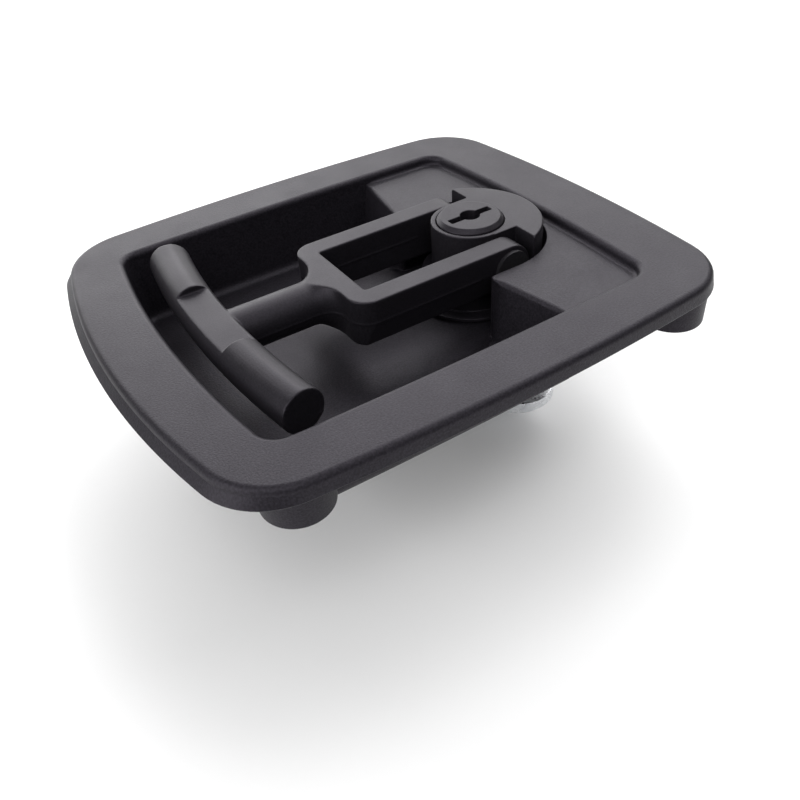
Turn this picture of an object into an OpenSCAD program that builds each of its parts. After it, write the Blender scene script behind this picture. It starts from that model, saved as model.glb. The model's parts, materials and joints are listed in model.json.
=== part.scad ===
// Recessed folding T-handle lock.
// A bowed cast pan carries a rotor. The T-handle lies folded in the pan. It is lifted on two pins
// in the rotor, and then turns the rotor with its spindle and the cam behind the panel.
// A key plug in the rotor slides a bolt that stops the rotor.
// Origin: middle of the rear screw pattern, in the plane that rests on the panel.
// +Z points out of the panel, and +X from the grip towards the rotor.

/* [Flange] */
// Length of the flange's top, at its middle
flange_l = 128.4; // [120:0.1:145]
// Width of the flange's top, at its middle
flange_w = 111.2; // [106:0.1:125]
// Thickness of the flange
flange_t = 4; // [3.5:0.1:6]
// Distance from the middle of the screw pattern to the middle of the flange
flange_x = -3.5; // [-5:0.1:-2]
// Corner radius of the flange
flange_corner = 16; // [10:1:20]
// Rounding of the flange's outer top edge
flange_round = 1.6; // [0.5:0.1:2.5]
// Bow of the flange's long sides
flange_side_bow = 3.3; // [1:0.1:5]
// Bow of the flange's grip end
flange_grip_bow = 8.6; // [3:0.1:9]
// Bow of the flange's rotor end
flange_rotor_bow = 4.1; // [1:0.1:6]
// How far the flange's foot stands out past its top at the grip end
foot_grip_out = 1.6; // [0:0.1:3]
// How far the flange's foot stands out past its top on the other sides
foot_out = 0.3; // [0:0.1:3]

/* [Recess] */
// Distance from the middle of the screw pattern to the recess's grip end
recess_grip_x = 54; // [51:0.5:56]
// Distance from the middle of the screw pattern to the recess's rotor end
recess_rotor_x = 43.7; // [43.5:0.1:45]
// Width of the recess
recess_w = 83; // [80:0.5:86]
// Corner radius of the recess
recess_corner = 4.5; // [4:0.1:8]
// Bow of the recess's long sides
recess_side_bow = 0.8; // [0.3:0.1:1.5]
// Bow of the recess's grip end
recess_grip_bow = 3.7; // [1:0.1:5]
// Bow of the recess's rotor end
recess_rotor_bow = 1.9; // [0.5:0.1:4]
// Rounding of the recess's top edge
recess_round = 1.4; // [0.5:0.1:1.8]
// Depth of the deck below the flange's top
deck_depth = 2.5; // [2:0.1:3]
// Depth of the finger well below the flange's top
well_depth = 18.5; // [18:0.5:22]
// Lean of the well's walls from top to floor
well_draft = 1.5; // [0.5:0.1:2]
// Rounding between the well's walls and its floor
well_round = 2; // [1:0.1:2.5]
// Where the deck's front edge meets the rotor's slot, from the middle of the screw pattern
deck_front_x = 15.5; // [13.5:0.5:17.5]
// Slant of the deck's front edge, in degrees
deck_slant = 9.5; // [0:0.5:12]
// Lean of the wall below the deck's front edge, from the deck to the floor
deck_lean = 2.4; // [0:0.1:3]
// Wall thickness of the casting
wall = 3; // [2.5:0.1:3.5]

/* [Rear bosses] */
// Distance between the bosses along X
boss_spacing_x = 97; // [95:0.5:98]
// Distance between the bosses along Y
boss_spacing_y = 88; // [87:0.5:89]
// Diameter of a boss
boss_d = 14.7; // [12:0.1:15]
// Height of a boss below the flange
boss_h = 9.3; // [6:0.1:14]
// Diameter of the tapped hole in a boss
boss_hole_d = 4.2; // [3.3:0.1:5]
// Depth of the tapped hole past the boss, into the flange
boss_hole_past = 0.5; // [0.2:0.1:1.5]

/* [Rotor] */
// Distance from the middle of the screw pattern to the rotor's axis
rotor_x = 24.3; // [23.5:0.1:24.5]
// Diameter of the rotor
rotor_d = 35.4; // [34.5:0.1:36]
// Height of the rotor's top above the flange's top
rotor_rise = 1.7; // [1.2:0.1:2.5]
// Gap between the rotor and the pan all round
rotor_gap = 0.9; // [0.8:0.1:1.5]
// Gap between the rotor's underside and the pan's floor
rotor_float = 0.3; // [0.2:0.05:0.6]
// Rounding of the rotor's top edge
rotor_round = 0.6; // [0.2:0.1:1]
// Width of the tongue between the fork's arms
tongue_w = 19.6; // [19:0.1:20]
// Radius of the tongue's round nose
tongue_r = 9.6; // [9.4:0.1:9.7]
// Distance from the rotor's axis to the wall behind the arm ends
notch_back = 6.4; // [6.1:0.1:8]
// Diameter of the rotor round the spindle's head, below the arms
waist_d = 24.4; // [24:0.1:24.6]
// Diameter of the disc at the rotor's foot
base_d = 31; // [29:0.1:33]
// Thickness of the disc at the rotor's foot
base_t = 1; // [0.8:0.1:1.5]
// Thickness of the housing round the rotor
housing_wall = 5.4; // [5:0.1:7]

/* [Handle] */
// Height of the fork
fork_h = 11.2; // [10.6:0.1:11.6]
// Depth of the fork's top below the rotor's top
fork_drop = 0.7; // [0.3:0.1:1.2]
// Width across the fork
fork_w = 32; // [31:0.1:32.4]
// Width of one arm of the fork
arm_w = 5.6; // [5:0.1:6]
// Distance from the rotor's axis to the closed end of the fork
fork_reach = 41.4; // [39:0.1:44]
// Thickness of the fork's closed end
fork_end = 4.9; // [4:0.1:7]
// Outer corner radius of the fork
fork_corner = 5; // [3:0.1:6]
// Lean of the fork's sides below the parting line, in degrees
fork_draft = 11.3; // [8:0.1:14]
// Distance from the rotor's axis to the middle of the grip
grip_reach = 67.9; // [66:0.1:69]
// Length of the grip
grip_l = 70; // [60:1:74]
// Diameter of the grip
grip_d = 9.8; // [8:0.1:11]
// Bow of the grip
grip_bow = 2.9; // [1:0.1:4]
// Height of the grip's axis above the parting line
grip_rise = 2.3; // [1:0.1:3]
// Length of the flat pad on the grip
pad_l = 25; // [15:1:35]
// Depth of the flat pad below the top of the grip
pad_depth = 1.6; // [0.8:0.1:2.2]
// Diameter of the neck
neck_d = 10.2; // [8:0.1:11]
// Height of the neck's axis above the parting line
neck_rise = 0.4; // [0:0.1:1]
// Radius of the flare from the neck into the fork
flare_r = 4.6; // [3:0.1:6]
// Diameter of the pivot pins
pivot_d = 4; // [3:0.1:5]
// Diameter of a pivot pin's head
pivot_head_d = 9.2; // [7:0.1:10]
// Thickness of a pivot pin's head
pivot_head_t = 1; // [0.6:0.1:1.2]
// Outer diameter of a pivot washer
pivot_washer_d = 8.4; // [7:0.1:9]
// Thickness of a pivot washer
pivot_washer_t = 0.5; // [0.4:0.05:0.5]

/* [Lock] */
// Outer diameter of the barrel
barrel_d = 13; // [12.4:0.1:13.4]
// Length of the barrel
barrel_l = 9.6; // [9:0.1:10]
// Diameter of the plug inside the barrel
plug_d = 9.2; // [8.8:0.1:9.8]
// Diameter of the plug's face
face_d = 16.4; // [15:0.1:16.6]
// Height of the plug's face above the rotor's top
face_rise = 1.1; // [1:0.1:2]
// How far the plug's face is drawn in by its bevel
face_bevel = 0.9; // [0.4:0.1:1.2]
// Height of that bevel
face_bevel_h = 1; // [0.5:0.1:1.2]
// Diameter of the sunk ring round the plug's face
sink_d = 16.8; // [16.7:0.1:17.2]
// Depth of the sunk ring
sink_depth = 2.1; // [1.7:0.1:2.4]
// Length of the slot in the plug's face
slot_l = 12; // [9:0.1:12.6]
// Width of the keyway
keyway_w = 2; // [1.6:0.1:2.4]
// Length of the keyway inside the plug
keyway_l = 7; // [6:0.1:7.4]
// Depth of the slot in the plug's face
slot_depth = 1.8; // [1:0.1:2.2]
// Diameter of the round hole in the plug's face
eye_d = 4.9; // [3:0.1:5.4]
// Depth of the round hole in the plug's face
eye_depth = 2.6; // [2:0.1:3]
// Length of a wafer, across the plug
wafer_l = 7.6; // [7.4:0.1:7.7]
// Width of a wafer
wafer_w = 5; // [4.6:0.1:5]
// Thickness of a wafer
wafer_t = 0.8; // [0.6:0.05:0.9]
// Distance from one wafer to the next
wafer_pitch = 1.8; // [1.6:0.05:1.85]
// Thickness of the plug below the keyway and the first wafer
plug_end = 1; // [0.8:0.1:1.2]
// Diameter of the disc on the plug's tail
tail_d = 8; // [7.6:0.1:8.4]
// Thickness of the disc on the plug's tail
tail_t = 1.6; // [1.2:0.1:1.8]
// Width of the square on the plug's tail
tail_square = 3.6; // [3:0.1:4]
// Diameter of the tail's peg
peg_d = 2.4; // [2:0.1:2.6]
// Travel of the lock bolt
bolt_travel = 3; // [2:0.1:3.2]
// Thickness of the lock bolt
bolt_t = 2; // [1.6:0.1:2.2]
// Width of the lock bolt's body
bolt_body_w = 10.4; // [10:0.1:11]
// Half length of the lock bolt's body
bolt_body_half = 6; // [5:0.1:6.4]
// Width of the lock bolt's nose
bolt_nose_w = 6; // [5:0.1:7]
// How far the lock bolt's nose stays inside the rotor's side
bolt_inset = 0.5; // [0.3:0.1:1]

/* [Spindle and cam] */
// Diameter of the spindle
spindle_d = 12; // [11:0.1:13]
// Diameter of the spindle's head
head_d = 22; // [21:0.1:22.6]
// Width across the flats of the spindle's head
head_flats = 20.8; // [20.6:0.1:21.4]
// Diameter of the screws through the spindle's head
head_screw_d = 2.5; // [2:0.1:2.8]
// Diameter of those screws' countersunk heads
head_screw_head_d = 4; // [3.4:0.1:4.2]
// Distance of those screws from the axis
head_screw_y = 8.1; // [7.9:0.1:8.3]
// Length of those screws
head_screw_l = 6.4; // [5.6:0.1:6.6]
// Outer diameter of the bush
bush_d = 16; // [15.4:0.1:17]
// Diameter of the bush's flange
bush_flange_d = 20; // [19:0.1:22]
// Thickness of the bush's flange
bush_flange_t = 1.2; // [1:0.1:1.6]
// Length of the bush below its flange
bush_l = 9.4; // [8:0.1:9.6]
// Diameter of the bearing boss behind the pan
bearing_boss_d = 24; // [22:0.5:28]
// Length of the bearing boss below the pan's floor
bearing_boss_l = 10.5; // [9.5:0.1:13]
// Thickness of the shaft seal
seal_t = 2.4; // [1.6:0.1:2.6]
// Diameter of the stop pin
stop_d = 3; // [2.5:0.1:3.2]
// Distance of the stop pin from the rotor's axis
stop_r = 14.2; // [14:0.1:14.6]
// Height of the stop pin above the pan's floor
stop_rise = 2.2; // [1.5:0.1:2.4]
// Turn that the stop groove allows, in degrees
stop_turn = 90; // [60:5:100]
// Turn from one of the lock bolt's two places to the other, in degrees
lock_turn = 45; // [45:5:90]
// Outer diameter of the thrust washer
thrust_d = 21; // [18:0.5:23]
// Thickness of the thrust washer
thrust_t = 1; // [0.8:0.1:1.5]
// Outer diameter of the retaining ring
ring_d = 17; // [15:0.5:18]
// Thickness of the retaining ring
ring_t = 1; // [0.8:0.1:1.2]
// Depth of the retaining ring's groove
ring_groove = 0.8; // [0.5:0.05:1]
// Width of the retaining ring's mouth
ring_mouth = 7; // [5:0.5:9]
// Length of the spindle between the retaining ring and the cam
shoulder_l = 2.2; // [1.5:0.1:4]
// Width of the spindle's square end
square_w = 8.5; // [8:0.1:8.5]
// Width of the cam
cam_w = 20; // [16:0.5:24]
// Distance from the axis to the tip of the cam
cam_reach = 29; // [24:0.5:36]
// Thickness of the cam
cam_t = 3; // [2:0.1:4]
// Diameter of the cam's flat washer
cam_washer_d = 18; // [14:0.5:20]
// Thickness of the cam's flat washer
cam_washer_t = 1.2; // [0.8:0.1:2]
// Outer diameter of the spring washer
spring_washer_d = 10.4; // [9.6:0.1:12]
// Thickness of the spring washer
spring_washer_t = 1.5; // [1:0.1:2]
// Diameter of the cam bolt's shank
cam_bolt_d = 6; // [5:0.1:6]
// Length of the cam bolt's shank inside the spindle
cam_bolt_grip = 9; // [6:0.5:11]
// Width across the flats of the cam bolt's head
cam_bolt_flats = 10; // [8:0.5:11]
// Height of the cam bolt's head
cam_bolt_head = 4; // [3:0.1:5]

/* [Clearances] */
// Radial gap of a piece that turns on another
running_gap = 0.06; // [0.03:0.01:0.1]
// Gap of a piece that is pressed or screwed into another
seat_gap = 0.02; // [0.01:0.01:0.05]
// Gap between flat faces that slide on each other
face_gap = 0.05; // [0.03:0.01:0.1]
// Gap round the sliding bolt, the peg and the stop pin
slide_gap = 0.2; // [0.15:0.05:0.3]

/* [Hidden] */
$fn = 64;

// Colours as the photo shows them
coat = "#2e2c30";
satin_coat = "#343236";
zinc = "#b9bcc0";
steel = "#8d9096";
brass = "#b08d4f";
nylon = "#d8d4c8";
rubber = "#1d1d1f";

// Extra length that lets a cut run clear of a face
past = 1;

// Heights
top_z = flange_t;
deck_z = top_z - deck_depth;
floor_z = top_z - well_depth;
under_z = floor_z - wall;
rotor_top = top_z + rotor_rise;
rotor_bottom = floor_z + rotor_float;
base_top = rotor_bottom + base_t;
parting_z = rotor_top - fork_drop - fork_h / 2;
turntable_z = parting_z - fork_h / 2 - rotor_gap;
sink_z = rotor_top - sink_depth;
barrel_bottom = sink_z - barrel_l;
face_top = rotor_top + face_rise;
tail_top = barrel_bottom - slide_gap;
tail_bottom = tail_top - tail_t;
bolt_top = tail_bottom - 2 * slide_gap;
bolt_bottom = bolt_top - bolt_t;
head_top = bolt_bottom - slide_gap;
bush_top = rotor_bottom - face_gap;
bush_seat_z = bush_top - bush_flange_t;
bush_bottom = bush_seat_z - bush_l;
bearing_bottom = under_z - bearing_boss_l;
seal_top = bush_bottom - face_gap;
thrust_top = bearing_bottom - face_gap;
thrust_bottom = thrust_top - thrust_t;
ring_top = thrust_bottom - face_gap;
ring_bottom = ring_top - ring_t;
cam_top = ring_bottom - shoulder_l;
cam_bottom = cam_top - cam_t;
cam_washer_top = cam_bottom - face_gap;
spring_washer_top = cam_washer_top - cam_washer_t - face_gap;
cam_bolt_seat = spring_washer_top - spring_washer_t - face_gap;

// Radii and half widths
rotor_r = rotor_d / 2;
pocket_r = rotor_r + rotor_gap;
housing_r = pocket_r + housing_wall;
tongue_half = tongue_w / 2;
fork_half = fork_w / 2;
fork_inner = fork_half - arm_w;
peg_throw = bolt_travel / sqrt(2);
// Where the two halves of the deck's front edge would meet
deck_front_mid = deck_front_x - pocket_r * tan(deck_slant);
groove_half = stop_d / 2 + slide_gap;
grip_bow_r = bow_radius(grip_l / 2, grip_bow);

// Number of wafers in the plug
wafer_count = 5;
// Heading of the tail's peg when the lock is open, in degrees
peg_heading = 135;
// Steps along a rounded edge
edge_steps = 3;
// Steps along each side and each corner of a bowed outline
outline_steps = 8;
// How far the well's wall stands inside the recess's wall
well_step = 0.1;
// How far inside the recess the well's wall is where its rounding starts
well_lean = well_step + well_draft * (deck_z - floor_z - well_round) / (deck_z - floor_z);

// Radius of an arc from its half chord and its bow
function bow_radius(half, bow) = (half * half + bow * bow) / (2 * bow);

// Where two circles meet, on the left of the way from the first centre to the second
function circles_meet(p, rp, q, rq) =
    let (gap = norm(q - p), u = (q - p) / gap)
    let (along = (rp * rp - rq * rq + gap * gap) / (2 * gap))
    p + along * u + sqrt(rp * rp - along * along) * [-u.y, u.x];

// Points along an arc, both ends included
function arc(centre, r, first, last, steps) = [
    for (i = [0:steps])
        let (a = first + (last - first) * i / steps)
        centre + r * [cos(a), sin(a)]
];

function heading(from, to) = atan2(to.y - from.y, to.x - from.x);
function sweep_from(a, b) = (b - a + 720) % 360;

// The four bowed sides of an outline, as a centre and a radius each
function bowed_sides(x_lo, x_hi, half_w, bow_lo, bow_hi, bow_side) =
    let (mid = (x_lo + x_hi) / 2)
    let (r_hi = bow_radius(half_w, bow_hi), r_lo = bow_radius(half_w, bow_lo))
    let (r_side = bow_radius((x_hi - x_lo) / 2, bow_side))
    [
        [[x_hi - r_hi, 0], r_hi],
        [[mid, half_w - r_side], r_side],
        [[x_lo + r_lo, 0], r_lo],
        [[mid, r_side - half_w], r_side]
    ];

// The closed chain of arcs of an outline: a side and then a corner, four times.
// Each arc is its centre, radius, first heading and sweep.
function arc_chain(sides, corner) =
    let (
        at = [for (i = [0:3])
            let (a = sides[i], b = sides[(i + 1) % 4])
            circles_meet(a[0], a[1] - corner, b[0], b[1] - corner)]
    )
    [for (i = [0:3]) each
        let (
            a = sides[i],
            b = sides[(i + 1) % 4],
            first = heading(a[0], at[(i + 3) % 4]),
            last = heading(a[0], at[i]),
            next = heading(b[0], at[i])
        )
        [
            [a[0], a[1], first, sweep_from(first, last)],
            [at[i], corner, last, sweep_from(last, next)]
        ]];

flange_arcs = arc_chain(
    bowed_sides(
        flange_x - flange_l / 2, flange_x + flange_l / 2, flange_w / 2,
        flange_grip_bow, flange_rotor_bow, flange_side_bow
    ),
    flange_corner
);
foot_arcs = arc_chain(
    bowed_sides(
        flange_x - flange_l / 2 - foot_grip_out, flange_x + flange_l / 2 + foot_out, flange_w / 2 + foot_out,
        flange_grip_bow, flange_rotor_bow, flange_side_bow
    ),
    flange_corner
);
recess_arcs = arc_chain(
    bowed_sides(
        -recess_grip_x, recess_rotor_x, recess_w / 2,
        recess_grip_bow, recess_rotor_bow, recess_side_bow
    ),
    recess_corner
);

// A ring of points round a chain of arcs: how far outside the chain, and how high
function ring_round(arcs, at) = [
    for (arc = arcs, i = [0:outline_steps - 1])
        let (a = arc[2] + arc[3] * i / outline_steps)
        [each arc[0] + (arc[1] + at.x) * [cos(a), sin(a)], at.y]
];

// A solid through closed rings with as many points each, from the lowest to the highest
module loft(rings) {
    n = len(rings[0]);
    last = len(rings) - 1;
    polyhedron(
        [for (points = rings) each points],
        [
            [for (i = [0:n - 1]) i],
            for (k = [0:last - 1], i = [0:n - 1])
                let (j = (i + 1) % n)
                [k * n + i, (k + 1) * n + i, (k + 1) * n + j, k * n + j],
            [for (i = [n - 1:-1:0]) last * n + i]
        ]
    );
}

module loft_round(arcs, profile) {
    loft([for (at = profile) ring_round(arcs, at)]);
}

module both_sides() {
    children();
    mirror([0, 1, 0]) children();
}

// A cylinder along Y, from one distance to another
module along_y(d, y_lo, y_hi) {
    translate([0, y_lo, 0]) rotate([-90, 0, 0]) cylinder(d = d, h = y_hi - y_lo);
}

module ring(d_in, d_out, z_lo, z_hi) {
    translate([0, 0, z_lo]) difference() {
        cylinder(d = d_out, h = z_hi - z_lo);
        translate([0, 0, -past]) cylinder(d = d_in, h = z_hi - z_lo + 2 * past);
    }
}

module at_rotor() {
    translate([rotor_x, 0, 0]) children();
}

module at_bosses() {
    for (x = [-1, 1], y = [-1, 1])
        translate([x * boss_spacing_x / 2, y * boss_spacing_y / 2, 0]) children();
}

// The flange: its sides lean out to the foot, and its top edge is round
module flange() {
    edge = arc([-flange_round, flange_t - flange_round], flange_round, 0, 90, edge_steps);
    loft([
        ring_round(foot_arcs, [0, 0]),
        for (at = edge) ring_round(flange_arcs, at)
    ]);
}

// What lies in front of the wall below the deck's front edge, grown by a distance
module front_of_deck(grow, z_lo, z_hi) {
    far = recess_w;
    loft([for (z = [z_lo, z_hi])
        let (
            mid = deck_front_mid + grow - deck_lean * (deck_z - z) / (deck_z - floor_z),
            side = mid + far * tan(deck_slant)
        )
        [[-flange_l, -far, z], [side, -far, z], [mid, 0, z], [side, far, z], [-flange_l, far, z]]
    ]);
}

// The recess down to the deck, with its rounded top edge
module recess_cut() {
    loft_round(recess_arcs, [
        [0, deck_z],
        each arc([recess_round, top_z - recess_round], recess_round, 180, 90, edge_steps),
        [recess_round, top_z + past]
    ]);
}

// The well's space over the whole recess, grown by a distance
module well_space(grow, z_hi) {
    loft_round(recess_arcs, [
        each arc([-well_lean - well_round, floor_z + well_round], well_round + grow, -90, 0, edge_steps),
        [grow - well_step, z_hi]
    ]);
}

module well_cut() {
    intersection() {
        well_space(0, deck_z + deck_depth / 2);
        front_of_deck(0, floor_z - past, top_z);
    }
}

// Room for the rotor, open to the well
module rotor_pocket() {
    at_rotor() {
        translate([0, 0, floor_z]) cylinder(r = pocket_r, h = well_depth + past);
        translate([deck_front_x - rotor_x - pocket_r, -pocket_r, floor_z])
            cube([rotor_x - deck_front_x + pocket_r, 2 * pocket_r, well_depth + past]);
    }
}

// Slots in the pan for the lock bolt's nose, at the folded and the turned place
module keeper_slots() {
    at_rotor() for (a = [0, lock_turn])
        rotate(a) translate([0, -bolt_nose_w / 2 - slide_gap, bolt_bottom - slide_gap])
            cube([
                rotor_r - bolt_inset + bolt_travel + 2 * slide_gap,
                bolt_nose_w + 2 * slide_gap,
                bolt_t + 2 * slide_gap
            ]);
}

// The casting before its well, pocket and bores are cut
module pan_blank() {
    flange();
    loft_round(recess_arcs, [[wall, deck_z - wall], [wall, past]]);
    intersection() {
        well_space(wall, past);
        front_of_deck(wall, under_z - past, top_z);
    }
    at_rotor() {
        translate([0, 0, under_z]) cylinder(r = housing_r, h = -under_z + past);
        translate([0, 0, bearing_bottom])
            cylinder(d = bearing_boss_d, h = under_z - bearing_bottom + past);
    }
    at_bosses() translate([0, 0, -boss_h]) cylinder(d = boss_d, h = boss_h + past);
}

module pan() {
    color(coat) difference() {
        pan_blank();
        recess_cut();
        well_cut();
        rotor_pocket();
        keeper_slots();
        at_rotor() {
            translate([0, 0, bearing_bottom - past])
                cylinder(d = bush_d, h = floor_z - bearing_bottom + 2 * past);
            translate([0, 0, bush_seat_z]) cylinder(d = bush_flange_d + 2 * seat_gap, h = well_depth);
            translate([-stop_r, 0, under_z - past]) cylinder(d = stop_d, h = wall + 2 * past);
        }
        at_bosses() translate([0, 0, -boss_h - past])
            cylinder(d = boss_hole_d, h = boss_h + past + boss_hole_past);
    }
}

module spindle_bush() {
    bore = spindle_d + 2 * running_gap;
    color(brass) at_rotor() {
        ring(bore, bush_d - 2 * seat_gap, bush_bottom, bush_seat_z + bush_flange_t / 2);
        ring(bore, bush_flange_d, bush_seat_z, bush_top);
    }
}

module shaft_seal() {
    color(rubber) at_rotor()
        ring(spindle_d + 2 * running_gap, bush_d - 2 * seat_gap, seal_top - seal_t, seal_top);
}

module stop_pin() {
    color(steel) at_rotor()
        translate([-stop_r, 0, under_z]) cylinder(d = stop_d - 2 * seat_gap, h = wall + stop_rise);
}

// Plan of all that lies in front of the rotor's back
module rotor_front_plan() {
    translate([-rotor_d, -rotor_d]) square([rotor_d + notch_back, 2 * rotor_d]);
}

// Plan of what is cut from the rotor beside the arms: all but the tongue and the back
module rotor_notch_plan() {
    difference() {
        rotor_front_plan();
        circle(tongue_r);
        translate([0, -tongue_half]) square([rotor_d, tongue_w]);
    }
}

// What is cut from the rotor below the arms: all but the waist, the disc at the foot and the back
module rotor_waist_cut() {
    translate([0, 0, base_top]) linear_extrude(turntable_z - base_top + rotor_gap / 2) difference() {
        rotor_front_plan();
        circle(d = waist_d);
    }
    translate([0, 0, rotor_bottom - past]) linear_extrude(2 * past + base_t) difference() {
        rotor_front_plan();
        circle(d = base_d);
    }
}

// Cut that rounds the rotor's top edge
module rotor_edge_cut() {
    rotate_extrude($fn = 180) polygon([
        each arc([rotor_r - rotor_round, rotor_top - rotor_round], rotor_round, 0, 90, edge_steps),
        [rotor_r - rotor_round, rotor_top + past], [rotor_r + past, rotor_top + past],
        [rotor_r + past, rotor_top - rotor_round]
    ]);
}

// Groove under the rotor that the stop pin runs in
module stop_groove() {
    deep = stop_rise - rotor_float + slide_gap;
    translate([0, 0, rotor_bottom - past]) {
        rotate(180 - stop_turn) rotate_extrude(angle = stop_turn, $fn = 180)
            translate([stop_r - groove_half, 0]) square([2 * groove_half, deep + past]);
        for (a = [180 - stop_turn, 180])
            rotate(a) translate([stop_r, 0, 0]) cylinder(r = groove_half, h = deep + past);
    }
}

// Room in the rotor for the lock bolt and its travel
module bolt_channel() {
    translate([-bolt_body_half - slide_gap, -bolt_body_w / 2 - slide_gap, bolt_bottom - slide_gap])
        cube([
            2 * bolt_body_half + bolt_travel + 2 * slide_gap,
            bolt_body_w + 2 * slide_gap,
            bolt_t + 2 * slide_gap
        ]);
    translate([0, -bolt_nose_w / 2 - slide_gap, bolt_bottom - slide_gap])
        cube([rotor_d, bolt_nose_w + 2 * slide_gap, bolt_t + 2 * slide_gap]);
}

// Plan of the spindle's head, with two flats
module head_plan(gap) {
    intersection() {
        circle(d = head_d + 2 * gap);
        square([head_d + 2 * past, head_flats + 2 * gap], center = true);
    }
}

module at_head_screws() {
    for (y = [-1, 1]) translate([0, y * head_screw_y, 0]) children();
}

module rotor() {
    color(satin_coat) at_rotor() difference() {
        translate([0, 0, rotor_bottom]) cylinder(r = rotor_r, h = rotor_top - rotor_bottom);
        rotor_edge_cut();
        translate([0, 0, turntable_z]) linear_extrude(rotor_top - turntable_z + past) rotor_notch_plan();
        rotor_waist_cut();
        translate([0, 0, sink_z]) cylinder(d = sink_d, h = sink_depth + past);
        translate([0, 0, barrel_bottom]) cylinder(d = barrel_d, h = barrel_l + past);
        translate([0, 0, bolt_bottom])
            cylinder(d = tail_d + 4 * slide_gap, h = barrel_bottom - bolt_bottom + past);
        bolt_channel();
        translate([0, 0, rotor_bottom - past])
            linear_extrude(head_top - rotor_bottom + past) head_plan(seat_gap);
        at_head_screws() translate([0, 0, rotor_bottom])
            cylinder(d = head_screw_d, h = head_screw_l + slide_gap);
        stop_groove();
        translate([0, 0, parting_z]) both_sides()
            along_y(pivot_d, barrel_d / 2 + slide_gap, tongue_half + past);
    }
}

module pivot_pins() {
    tip = barrel_d / 2 + 2 * slide_gap;
    color(steel) at_rotor() translate([0, 0, parting_z]) both_sides() {
        along_y(pivot_d - 2 * seat_gap, tip, fork_half + pivot_head_t);
        along_y(pivot_head_d, fork_half + face_gap, fork_half + pivot_head_t);
    }
}

module pivot_washers() {
    color(nylon) at_rotor() translate([0, 0, parting_z]) both_sides() difference() {
        along_y(pivot_washer_d, tongue_half + face_gap, tongue_half + face_gap + pivot_washer_t);
        along_y(pivot_d + 2 * seat_gap, tongue_half - past, fork_inner + past);
    }
}

module lock_barrel() {
    color(zinc) at_rotor()
        ring(plug_d + 2 * running_gap, barrel_d - 2 * seat_gap, barrel_bottom, sink_z);
}

module spindle() {
    tip_z = cam_bottom + face_gap;
    color(zinc) at_rotor() difference() {
        union() {
            translate([0, 0, rotor_bottom]) linear_extrude(head_top - rotor_bottom) head_plan(0);
            translate([0, 0, cam_top]) cylinder(d = spindle_d, h = rotor_bottom - cam_top + past);
            intersection() {
                translate([0, 0, tip_z]) cylinder(d = spindle_d, h = cam_top - tip_z + past);
                translate([0, 0, cam_top])
                    cube([square_w, square_w, 2 * (cam_top - tip_z)], center = true);
            }
        }
        ring(spindle_d - 2 * ring_groove, spindle_d + past, ring_bottom - face_gap, ring_top + face_gap);
        translate([0, 0, tip_z - past]) cylinder(d = cam_bolt_d, h = cam_bolt_grip + 2 * past);
        at_head_screws() {
            translate([0, 0, rotor_bottom - past])
                cylinder(d = head_screw_d, h = head_top - rotor_bottom + 2 * past);
            translate([0, 0, rotor_bottom])
                cylinder(d1 = head_screw_head_d, d2 = head_screw_d, h = head_screw_d / 2);
        }
    }
}

module spindle_screws() {
    color(steel) at_rotor() at_head_screws() translate([0, 0, rotor_bottom]) {
        cylinder(d = head_screw_d - 2 * seat_gap, h = head_screw_l);
        cylinder(
            d1 = head_screw_head_d - 2 * seat_gap,
            d2 = head_screw_d - 2 * seat_gap,
            h = head_screw_d / 2
        );
    }
}

module thrust_washer() {
    color(zinc) at_rotor() ring(spindle_d + 2 * running_gap, thrust_d, thrust_bottom, thrust_top);
}

module retaining_ring() {
    color(steel) at_rotor() difference() {
        ring(spindle_d - 2 * ring_groove + 2 * seat_gap, ring_d, ring_bottom, ring_top);
        translate([0, -ring_mouth / 2, ring_bottom - past]) cube([ring_d, ring_mouth, ring_t + 2 * past]);
    }
}

module cam() {
    hole = square_w + 2 * seat_gap;
    color(zinc) at_rotor() translate([0, 0, cam_bottom]) linear_extrude(cam_t) difference() {
        union() {
            circle(d = cam_w);
            translate([-cam_w / 2, cam_w / 2 - cam_reach]) square([cam_w, cam_reach - cam_w / 2]);
            translate([0, cam_w / 2 - cam_reach]) circle(d = cam_w);
        }
        square(hole, center = true);
    }
}

module cam_washer() {
    color(zinc) at_rotor()
        ring(cam_bolt_d + 2 * slide_gap, cam_washer_d, cam_washer_top - cam_washer_t, cam_washer_top);
}

module spring_washer() {
    low = spring_washer_top - spring_washer_t;
    color(zinc) at_rotor() difference() {
        ring(cam_bolt_d + 2 * slide_gap, spring_washer_d, low, spring_washer_top);
        translate([0, 0, low - past]) rotate(30)
            cube([spring_washer_d, spring_washer_t / 2, spring_washer_t + 2 * past]);
    }
}

module cam_bolt() {
    color(zinc) at_rotor() {
        translate([0, 0, cam_bolt_seat - cam_bolt_head])
            cylinder(d = cam_bolt_flats / cos(30), h = cam_bolt_head, $fn = 6);
        translate([0, 0, cam_bolt_seat - past])
            cylinder(d = cam_bolt_d - 2 * seat_gap, h = cam_bottom - cam_bolt_seat + cam_bolt_grip + past);
    }
}

// The bowed round bar that the hand holds
module grip() {
    half_angle = asin(grip_l / 2 / grip_bow_r);
    translate([rotor_x - grip_reach + grip_bow_r, 0, parting_z + grip_rise])
        rotate(180 - half_angle) rotate_extrude(angle = 2 * half_angle, $fn = 180)
            translate([grip_bow_r, 0]) circle(d = grip_d);
}

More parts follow.
